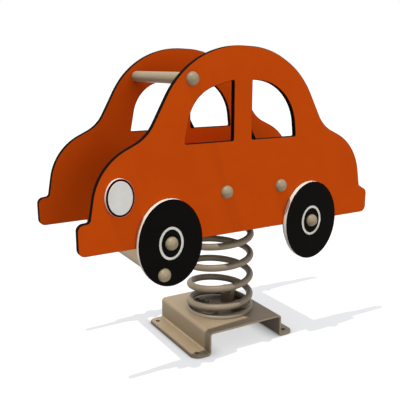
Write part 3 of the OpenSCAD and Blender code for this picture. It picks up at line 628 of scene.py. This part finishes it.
# White polyethylene with the sheet's fine pebble, a little greyed by handling.
pebble = add(tree, "ShaderNodeTexVoronoi", {"Vector": place, "Scale": 1 / 0.0025}, feature="SMOOTH_F1")
shade = add(tree, "ShaderNodeTexNoise", {"Vector": place, "Scale": 1 / 0.02, "Detail": 4.0})
tone = add(tree, "ShaderNodeValToRGB", {"Fac": shade.outputs["Fac"]})
tone.color_ramp.elements[0].position = 0.30
tone.color_ramp.elements[0].color = linear("#cfccc5")
tone.color_ramp.elements[1].position = 0.70
tone.color_ramp.elements[1].color = linear("#d7d4cd")
relief = add(tree, "ShaderNodeBump", {
    "Height": pebble.outputs["Distance"], "Strength": 0.2, "Distance": 0.0003})
shader = add(tree, "ShaderNodeBsdfPrincipled", {
    "Base Color": tone.outputs["Color"], "Roughness": 0.45, "Normal": relief.outputs["Normal"],
    "IOR": 1.5, "Specular IOR Level": 0.15})
add(tree, "ShaderNodeOutputMaterial", {"Surface": shader.outputs["BSDF"]})

line_paint, tree, place = new_finish("enamel_dark_red_line")
# Brushed-in enamel, a very dark red, lighter where it is thin.
thin = add(tree, "ShaderNodeTexNoise", {"Vector": place, "Scale": 1 / 0.006, "Detail": 3.0})
tone = add(tree, "ShaderNodeValToRGB", {"Fac": thin.outputs["Fac"]})
tone.color_ramp.elements[0].position = 0.35
tone.color_ramp.elements[0].color = linear("#300507")
tone.color_ramp.elements[1].position = 0.75
tone.color_ramp.elements[1].color = linear("#440a0b")
relief = add(tree, "ShaderNodeBump", {
    "Height": thin.outputs["Fac"], "Strength": 0.2, "Distance": 0.0003})
shader = add(tree, "ShaderNodeBsdfPrincipled", {
    "Base Color": tone.outputs["Color"], "Roughness": 0.4, "Normal": relief.outputs["Normal"],
    "IOR": 1.5, "Specular IOR Level": 0.01})
add(tree, "ShaderNodeOutputMaterial", {"Surface": shader.outputs["BSDF"]})

step_y = lamp_t - ring_deep
lamp_profile = [(0.3, 0, 0), (0.85, 0, 0), (1, lamp_bevel, 0), (1, 0, lamp_bevel),
                (1, 0, step_y - line_bevel), (1, line_bevel, step_y), (1, lamp_line, step_y),
                (1, lamp_line, lamp_t - line_bevel), (1, lamp_line + line_bevel, lamp_t),
                (1, lamp_line + beside_line, lamp_t), (0.3, 0, lamp_t)]
lamp_bands = [0] * 5 + [1, 1, 0, 0, 0]
for side, name in ((1, "left"), (-1, "right")):
    loops = oval_disc(lamp_at, lamp_w / 2, lamp_h / 2, lamp_profile, side)
    lamp = build(name + "_headlight_disc", [(loops, lamp_bands)], [lamp_white, line_paint])
    fit(lamp, "rider", "lamp_white", name + "_headlight")

# Dome caps: beige moulded nylon, snapped over every bolt head and washer that a child can reach.
# Each is a ball's upper half with a fine groove where the cap meets its base ring.
cap_r = 0.0175
cap_h = 0.016
ball_r = (cap_r ** 2 + cap_h ** 2) / (2 * cap_h)
cap_groove = (0.0016, 0.0018, 0.0024, 0.0026)
cap_groove_deep = 0.0003
cap_top_r = 0.0001
carrier_bolt_x = 0.0875
carrier_bolt_z = 0.465

cap_nylon, tree, place = new_finish("moulded_nylon_beige")
# Moulded nylon: smooth, softly shining, with a very fine spark-eroded grain of 1 mm and slight fading.
# Painted shade darkens it towards the panel, from ambient occlusion within 12 mm.
grain = add(tree, "ShaderNodeTexNoise", {"Vector": place, "Scale": 1 / 0.001, "Detail": 1.0})
fading = add(tree, "ShaderNodeTexNoise", {"Vector": place, "Scale": 1 / 0.03, "Detail": 3.0})
tone = add(tree, "ShaderNodeValToRGB", {"Fac": fading.outputs["Fac"]})
tone.color_ramp.elements[0].position = 0.30
tone.color_ramp.elements[0].color = linear("#8a7c63")
tone.color_ramp.elements[1].position = 0.70
tone.color_ramp.elements[1].color = linear("#92846b")
nook = add(tree, "ShaderNodeAmbientOcclusion", {"Distance": 0.012})
painted_shade = add(tree, "ShaderNodeMapRange", {
    "Value": nook.outputs["AO"], "From Min": 0.4, "From Max": 0.95, "To Min": 0.45, "To Max": 1.0})
with_painted_shade = add(tree, "ShaderNodeMix", {
    0: 1.0, 6: tone.outputs["Color"], 7: painted_shade.outputs["Result"]}, data_type="RGBA", blend_type="MULTIPLY")
relief = add(tree, "ShaderNodeBump", {
    "Height": grain.outputs["Fac"], "Strength": 0.1, "Distance": 0.0002})
shader = add(tree, "ShaderNodeBsdfPrincipled", {
    "Base Color": with_painted_shade.outputs[2], "Roughness": 0.38, "Normal": relief.outputs["Normal"],
    "IOR": 1.53, "Specular IOR Level": 0.2})
add(tree, "ShaderNodeOutputMaterial", {"Surface": shader.outputs["BSDF"]})

rise = np.concatenate([[0], cap_groove, cap_h * np.sin(np.linspace(0.25, np.pi / 2, 22))])
ball_r_at = np.sqrt(np.maximum(ball_r ** 2 - (rise - cap_h + ball_r) ** 2, cap_top_r ** 2))
cap_profile = np.stack([ball_r_at, rise], axis=1)
cap_profile[2:4, 0] -= cap_groove_deep
wheel_outer_y = panel_outer_y + wheel_t
carrier_bolts_at = [(-carrier_bolt_x, carrier_bolt_z), (carrier_bolt_x, carrier_bolt_z)]
hubs_at = [(x, wheel_z) for x in wheels_x]
for name, spots, y in (
        ("carrier", carrier_bolts_at, panel_outer_y),
        ("handlebar", [handle_at], panel_outer_y),
        ("footrest", [foot_at], wheel_outer_y),
        ("hub", hubs_at, wheel_outer_y)):
    domes = [(turned(cap_profile, (x, side * y, z), 1, side), 0) for x, z in spots for side in (1, -1)]
    caps = build(name + "_dome_caps", domes, [cap_nylon], sharp=40)
    fit(caps, "rider", "cap_tan", name + "_caps")

# Spring claws: forged steel blocks, powder coated, that hook over the wire's inner side to hold it down.
# Four stand on the bracket and four hang under the carrier, each with a groove for the turn that it holds.
carrier_under = carrier_top - carrier_t
claw_in = 0.044
claw_out = 0.092
claw_half_w = 0.016
claw_edge_r = 0.001
claw_lip = 0.015
lip_gap = 0.003
groove_play = 0.002
groove_r = wire_r + groove_play
# The upper claws are the lower ones turned half round a level line through the spring's middle.
mid_z = (bracket_h + carrier_under) / 2
mid_angle = first_angle + 2 * np.pi * (all_turns / 2 - seat_turn)
to_upper = (Matrix.Translation((0, 0, mid_z)) @ Matrix.Rotation(mid_angle, 4, "Z")
            @ Matrix.Rotation(np.pi, 4, "X") @ Matrix.Rotation(-mid_angle, 4, "Z")
            @ Matrix.Translation((0, 0, -mid_z)))
claw_turns = seat_turn + (claw_angles - first_angle) / (2 * np.pi)
claw_turns -= np.floor(claw_turns - tip_turn)
claw_wires = wire_height(claw_turns)
room = wire_height(claw_turns + 1) - claw_wires - wire_r - lip_gap
claw_tops = claw_wires + np.minimum(claw_lip, room)
for k, (angle, wire, top) in enumerate(zip(claw_angles, claw_wires, claw_tops)):
    below = np.pi - np.arcsin(max((bracket_h - wire) / groove_r, -1))
    above = np.arccos((claw_out - coil_r) / groove_r)
    has_lip = top - wire > groove_r * np.sin(above)
    above = above if has_lip else np.pi - np.arcsin((top - wire) / groove_r)
    arc = np.linspace(below, above, 24)
    groove = np.array([coil_r, wire]) + groove_r * np.stack([np.cos(arc), np.sin(arc)], axis=1)
    top_corners = [(claw_out, top)] * int(has_lip) + [(claw_in, top)]
    side_view = np.concatenate([[(claw_in, bracket_h)], groove, top_corners])
    for end, body, move in (("lower", "ground", Matrix()), ("upper", "rider", to_upper)):
        name = "%s_spring_claw_%d" % (end, k + 1)
        claw = sheet(name, [side_view], -claw_half_w, claw_half_w, claw_edge_r, 1, [powder_coat])
        claw.data.polygons.foreach_set("material_index", np.zeros(len(claw.data.polygons), np.int32))
        claw.data.transform(move @ Matrix.Rotation(angle, 4, "Z"))
        fit(claw, body, "tan_powder_coat", end + "_spring_claws")

# Bolts, washers and nuts: zinc plated steel. Hexagon bolts hold the claws, carrier and wheels, round heads
# the seat, and countersunk screws the upper claws. Those hidden in the tubes and lamps stay the CAD solids.
# Sizes that end in by_d are shares of the bolt's diameter.
flats_by_d = 1.65
crown_by_flats = 0.93
head_by_d = 0.64
round_head_by_d = 1.15
nut_by_d = 0.85
washer_r_by_d = 1.05
washer_t_by_d = 0.2
bevel = 0.0003
sunk_edge = 0.0004
washer_play = 0.0005
nut_play = 0.0001
past_nut = 0.003
thread_tip = 0.0012
thread_runout = 0.0004
thread_step = 0.0008
thread_deep = 0.0006
thread_rings = 18
bolt_sides = 48
seat_bolt_x = 0.092
seat_bolt_y = 0.070

zinc_plate, tree, place = new_finish("zinc_plated_steel")
# Electroplated zinc after some years outdoors: dull brownish grey metal, cloudy in spots of 4 to 8 mm.
cloud = add(tree, "ShaderNodeTexNoise", {
    "Vector": place, "Scale": 1 / 0.006, "Detail": 4.0, "Roughness": 0.6})
tone = add(tree, "ShaderNodeValToRGB", {"Fac": cloud.outputs["Fac"]})
tone.color_ramp.elements[0].position = 0.30
tone.color_ramp.elements[0].color = linear("#5c5953")
tone.color_ramp.elements[1].position = 0.70
tone.color_ramp.elements[1].color = linear("#7a766e")
gloss = add(tree, "ShaderNodeMapRange", {
    "Value": cloud.outputs["Fac"], "From Min": 0.3, "From Max": 0.7, "To Min": 0.60, "To Max": 0.46})
relief = add(tree, "ShaderNodeBump", {
    "Height": cloud.outputs["Fac"], "Strength": 0.1, "Distance": 0.0003})
shader = add(tree, "ShaderNodeBsdfPrincipled", {
    "Base Color": tone.outputs["Color"], "Roughness": gloss.outputs["Result"],
    "Normal": relief.outputs["Normal"], "Metallic": 1.0})
add(tree, "ShaderNodeOutputMaterial", {"Surface": shader.outputs["BSDF"]})


def hexed(d, low, high, spot, axis, sign, sides=bolt_sides):
    """Hexagon of a bolt head or nut between two heights along an axis, as loops [loop, point, xyz]. The
    radius is half the width over the flats by the cosine of the angle from the nearest flat's middle, and a
    cone of 30 degrees takes off the corners at both ends."""
    around = np.linspace(0, 2 * np.pi, sides, endpoint=False)
    flats = flats_by_d * d / 2
    rim = flats / np.cos((around + np.pi / 6) % (np.pi / 3) - np.pi / 6)
    crown = np.full(sides, crown_by_flats * flats)
    drop = (rim - crown) * np.tan(np.radians(30))
    r = np.stack([crown, rim, rim, crown])
    h = np.stack([np.full(sides, low), low + drop, high - drop, np.full(sides, high)])
    return ringed(axis, sign * h, r, around) + np.array(spot)


# A stack is one bolt's place: the spot on the nut's side, the sign of the way to its head, and its grip.
lower_stacks = [((x, y, bracket_h - bracket_t), 1, top - bracket_h + bracket_t)
                for (x, y), top in zip(claw_bolts_at, claw_tops)]
upper_spots = [(to_upper @ Matrix.Translation((x, y, top))).translation
               for (x, y), top in zip(claw_bolts_at, claw_tops)]
upper_stacks = [(tuple(spot), 1, carrier_top - spot.z) for spot in upper_spots]
seat_stacks = [((x, y, carrier_under), 1, carrier_t + seat_t)
               for x in (-seat_bolt_x, seat_bolt_x) for y in (-seat_bolt_y, seat_bolt_y)]
carrier_grip = panel_outer_y - panel_inner_y + carrier_t
carrier_stacks = [((x, side * (panel_inner_y - carrier_t), z), side, carrier_grip)
                  for x, z in carrier_bolts_at for side in (1, -1)]
hub_stacks = [((x, side * panel_inner_y, z), side, wheel_outer_y - panel_inner_y)
              for x, z in hubs_at for side in (1, -1)]
# Each group: name, last word of its bolts' node, kind of head, body, bolt diameter, axis and stacks.
for name, bolt_word, head, body, d, axis, stacks in (
        ("lower_claw", "bolts", "hex", "ground", 0.012, 2, lower_stacks),
        ("upper_claw", "screws", "sunk", "rider", 0.012, 2, upper_stacks),
        ("seat", "bolts", "round", "rider", 0.008, 2, seat_stacks),
        ("carrier", "bolts", "hex on washer", "rider", 0.010, 1, carrier_stacks),
        ("hub", "bolts", "hex on washer", "rider", 0.010, 1, hub_stacks)):
    r = d / 2
    bore_r = r + washer_play
    washer_r = washer_r_by_d * d
    washer_t = washer_t_by_d * d
    washer = [(bore_r, 0), (washer_r - bevel, 0), (washer_r, bevel), (washer_r, washer_t - bevel),
              (washer_r - bevel, washer_t), (bore_r, washer_t)]
    nut_low = -washer_t - nut_by_d * d
    foot = nut_low - past_nut
    thread = [(r - thread_tip, foot), (r - thread_runout, foot + thread_step)]
    thread += [(r - thread_deep * (k % 2), foot + thread_step * (k + 1.5)) for k in range(thread_rings)]
    bolts, washers, nuts = [], [], []
    for spot, sign, grip in stacks:
        seat_h = grip + washer_t * (head == "hex on washer")
        if head == "sunk":
            cone = [(r, grip - r), (2 * r, grip - sunk_edge), (2 * r - sunk_edge, grip)]
            bolt = turned(thread + cone, spot, axis, sign, bolt_sides)
        elif head == "round":
            head_r = round_head_by_d * d
            # From just above its rim to just beside its top.
            swell = np.linspace(0.1, np.pi / 2 - 0.05, 8)
            dome = [(head_r * np.cos(a), grip + d / 2 * np.sin(a)) for a in swell]
            bolt = turned(thread + [(r, grip), (head_r, grip)] + dome, spot, axis, sign, bolt_sides)
        else:
            shank = turned(thread + [(r, seat_h)], spot, axis, sign, bolt_sides)
            hexagon = hexed(d, seat_h, seat_h + head_by_d * d, spot, axis, sign)
            bolt = np.concatenate([shank, hexagon])
        bolts.append((bolt, 0))
        bore = [turned([(r + nut_play, h)], spot, axis, sign, bolt_sides) for h in (nut_low, -washer_t)]
        nut = hexed(d, nut_low, -washer_t, spot, axis, sign)
        nuts.append((np.concatenate([bore[0], nut, bore[1]]), 0))
        levels = [-washer_t] + [grip] * (head == "hex on washer")
        washers += [(turned([(a, h + level) for a, h in washer], spot, axis, sign, bolt_sides), 0)
                    for level in levels]
    for kind, skins, ring in ((bolt_word, bolts, False), ("washers", washers, True), ("nuts", nuts, True)):
        made = build(name + "_steel_" + kind, skins, [zinc_plate], ring=ring)
        fit(made, body, "zinc_steel", name + "_" + kind)
for name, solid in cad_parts.items():
    if name.startswith(("handlebar_", "footrest_", "headlight_")) and not name.endswith("_caps"):
        solid.data.materials.clear()
        solid.data.materials.append(zinc_plate)

# Studio: a pale floor under a white surround, one sun high at the front and a soft light on the near side.
# The floor and surround are white to the camera and to reflections, and greyer to the light between surfaces.
floor_half = 30.0
floor_z = -0.0005
floor_glow = 0.64
sky_strength = 0.94
spot_fade = 0.003


def seen_directly(tree):
    """Factor that is 1 to the camera, in reflections and through glass, and 0 to light between surfaces."""
    path = add(tree, "ShaderNodeLightPath")
    seen = add(tree, "ShaderNodeMath", {
        0: path.outputs["Is Camera Ray"], 1: path.outputs["Is Glossy Ray"]}, operation="MAXIMUM")
    seen = add(tree, "ShaderNodeMath", {
        0: seen.outputs[0], 1: path.outputs["Is Transmission Ray"]}, operation="MAXIMUM")
    return seen.outputs[0]


def facing(right, back):
    """Rotation of a light or camera from the directions to its right and behind it."""
    return Matrix(np.column_stack([right, np.cross(back, right), back]).tolist()).to_4x4()


floor_paint, tree, place = new_finish("studio_floor_white")
seen = seen_directly(tree)
# The floor's glow fades where ambient occlusion finds parts within 5 cm: painted contact shade.
shut_in = add(tree, "ShaderNodeAmbientOcclusion", {"Distance": 0.05})
# Four dark spots on the floor under the bracket's anchor holes, a little wider than the holes: painted shade.
folded = add(tree, "ShaderNodeVectorMath", {0: place}, operation="ABSOLUTE")
to_anchor = add(tree, "ShaderNodeVectorMath", {
    0: folded.outputs[0], 1: (anchor_x, anchor_y, abs(floor_z))}, operation="DISTANCE")
dimmed = add(tree, "ShaderNodeMapRange", {
    "Value": to_anchor.outputs["Value"], "From Min": anchor_r, "From Max": anchor_r + spot_fade})
shaded = add(tree, "ShaderNodeMix", {
    0: dimmed.outputs["Result"], 6: linear("#1c1812"), 7: linear("#9c9c9c")}, data_type="RGBA")
paint = add(tree, "ShaderNodeMix", {
    0: seen, 6: linear("#b0b0b0"), 7: shaded.outputs[2]}, data_type="RGBA")
matt = add(tree, "ShaderNodeBsdfDiffuse", {"Color": paint.outputs[2]})
open_part = add(tree, "ShaderNodeMath", {
    0: shut_in.outputs["AO"], 1: dimmed.outputs["Result"]}, operation="MULTIPLY")
glow_part = add(tree, "ShaderNodeMapRange", {"Value": open_part.outputs[0], "To Max": floor_glow})
lift = add(tree, "ShaderNodeMath", {
    0: seen, 1: glow_part.outputs["Result"]}, operation="MULTIPLY")
glow = add(tree, "ShaderNodeEmission", {"Color": (1, 1, 1, 1), "Strength": lift.outputs[0]})
both = add(tree, "ShaderNodeAddShader", {0: matt.outputs["BSDF"], 1: glow.outputs["Emission"]})
add(tree, "ShaderNodeOutputMaterial", {"Surface": both.outputs["Shader"]})
floor_mesh = bpy.data.meshes.new("studio_floor")
floor_corners = [(sx * floor_half, sy * floor_half, floor_z)
                 for sx, sy in ((-1, -1), (1, -1), (1, 1), (-1, 1))]
floor_mesh.from_pydata(floor_corners, [], [(0, 1, 2, 3)])
floor_mesh.materials.append(floor_paint)
floor = bpy.data.objects.new("studio_floor", floor_mesh)
bpy.context.scene.collection.objects.link(floor)

world = bpy.data.worlds.new("studio_surround")
bpy.context.scene.world = world
world.use_nodes = True
tree = world.node_tree
tree.nodes.clear()
seen = seen_directly(tree)
towards = add(tree, "ShaderNodeSeparateXYZ", {0: add(tree, "ShaderNodeTexCoord").outputs["Generated"]})
overhead = add(tree, "ShaderNodeMapRange", {"Value": towards.outputs["Z"], "To Max": sky_strength})
level = add(tree, "ShaderNodeMix", {0: seen, 2: overhead.outputs["Result"], 3: 1.0})
sky = add(tree, "ShaderNodeMix", {
    0: seen, 6: linear("#ebf2ff"), 7: (1, 1, 1, 1)}, data_type="RGBA")
surround = add(tree, "ShaderNodeBackground", {"Color": sky.outputs[2], "Strength": level.outputs[0]})
add(tree, "ShaderNodeOutputWorld", {"Surface": surround.outputs["Background"]})

# Each light: name, colour, strength, spread in degrees, and the direction towards it.
for name, tint, energy, spread, source in (
        ("studio_sun", "#fffbf5", 3.30, 0.8, (0.345, 0.058, 1.0)),
        ("studio_fill", "#ffffff", 1.60, 40.0, (-0.15, 0.95, 0.10))):
    light = bpy.data.lights.new(name, "SUN")
    light.energy = energy
    light.color = linear(tint)[:3]
    light.angle = np.radians(spread)
    back = np.array(source) / np.linalg.norm(source)
    right = np.cross([0.0, 0.0, 1.0], back)
    right /= np.linalg.norm(right)
    sun = bpy.data.objects.new(name, light)
    sun.matrix_world = facing(right, back)
    bpy.context.scene.collection.objects.link(sun)

# Camera: from the car's left front, a little above, at the distance and angle of the photograph.
# The view was worked out from the panels, wheels, spring and bracket.
azimuth = np.radians(149.8)
down = np.radians(12.91)
camera_at = (0.9029, 1.4326, 0.7878)
focal_px = 592.5
photo_px = 400
back = np.array([np.sin(azimuth) * np.cos(down), -np.cos(azimuth) * np.cos(down), np.sin(down)])
right = np.array([np.cos(azimuth), np.sin(azimuth), 0])
lens = bpy.data.cameras.new("view")
lens.sensor_width = 36.0
lens.lens = focal_px / photo_px * lens.sensor_width
lens.clip_start = 0.05
camera = bpy.data.objects.new("view", lens)
camera.matrix_world = Matrix.Translation(camera_at) @ facing(right, back)
bpy.context.scene.collection.objects.link(camera)
bpy.context.scene.camera = camera
bpy.context.scene.view_settings.view_transform = "Standard"
